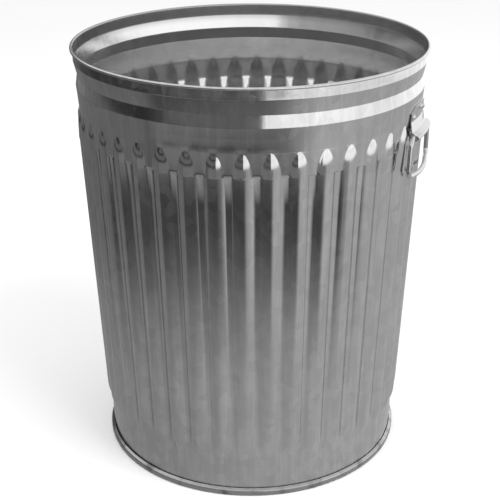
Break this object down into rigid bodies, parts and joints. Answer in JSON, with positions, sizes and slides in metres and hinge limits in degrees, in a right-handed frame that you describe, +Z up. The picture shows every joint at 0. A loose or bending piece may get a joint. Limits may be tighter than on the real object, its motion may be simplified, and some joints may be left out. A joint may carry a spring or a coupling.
{
  "type": "ribbed steel refuse can",
  "caption": "Open tapered refuse can of ribbed zinc-coated sheet steel with a wired rim, a hooped foot and drop handles.",
  "frame": {"origin": "centre of the foot, on the floor", "axes": "+Z up along the can's axis, +X through the right handle, -X through the left handle"},
  "size_m": [0.5446, 0.5334, 0.647],
  "materials": {
    "galvanized_sheet": "bright zinc-coated sheet, lightly rippled",
    "galvanized_pan": "zinc-coated sheet, dull",
    "galvanized_hoop": "bright zinc-coated sheet",
    "galvanized_bracket": "zinc-coated pressing, satin",
    "galvanized_wire": "zinc-coated wire, satin",
    "steel_rivet": "plated rivet, satin",
    "rim_wire": "plain steel wire"
  },
  "bodies": {
    "can": {"body_shell": "galvanized_sheet", "rim_wire": "rim_wire", "bottom_pan": "galvanized_pan", "bottom_hoop": "galvanized_hoop", "right_handle_bracket": "galvanized_bracket", "right_bracket_rivets": "steel_rivet", "left_handle_bracket": "galvanized_bracket", "left_bracket_rivets": "steel_rivet"},
    "right_handle": {"right_bail": "galvanized_wire"},
    "left_handle": {"left_bail": "galvanized_wire"}
  },
  "joints": [
    {"name": "right_handle_swing", "type": "hinge", "parent": "can", "child": "right_handle", "pos_m": [0.26132, 0, 0.5338], "axis": [0, -1, 0], "range_deg": [0, 170]},
    {"name": "left_handle_swing", "type": "hinge", "parent": "can", "child": "left_handle", "pos_m": [-0.26132, 0, 0.5338], "axis": [0, 1, 0], "range_deg": [0, 170]}
  ]
}
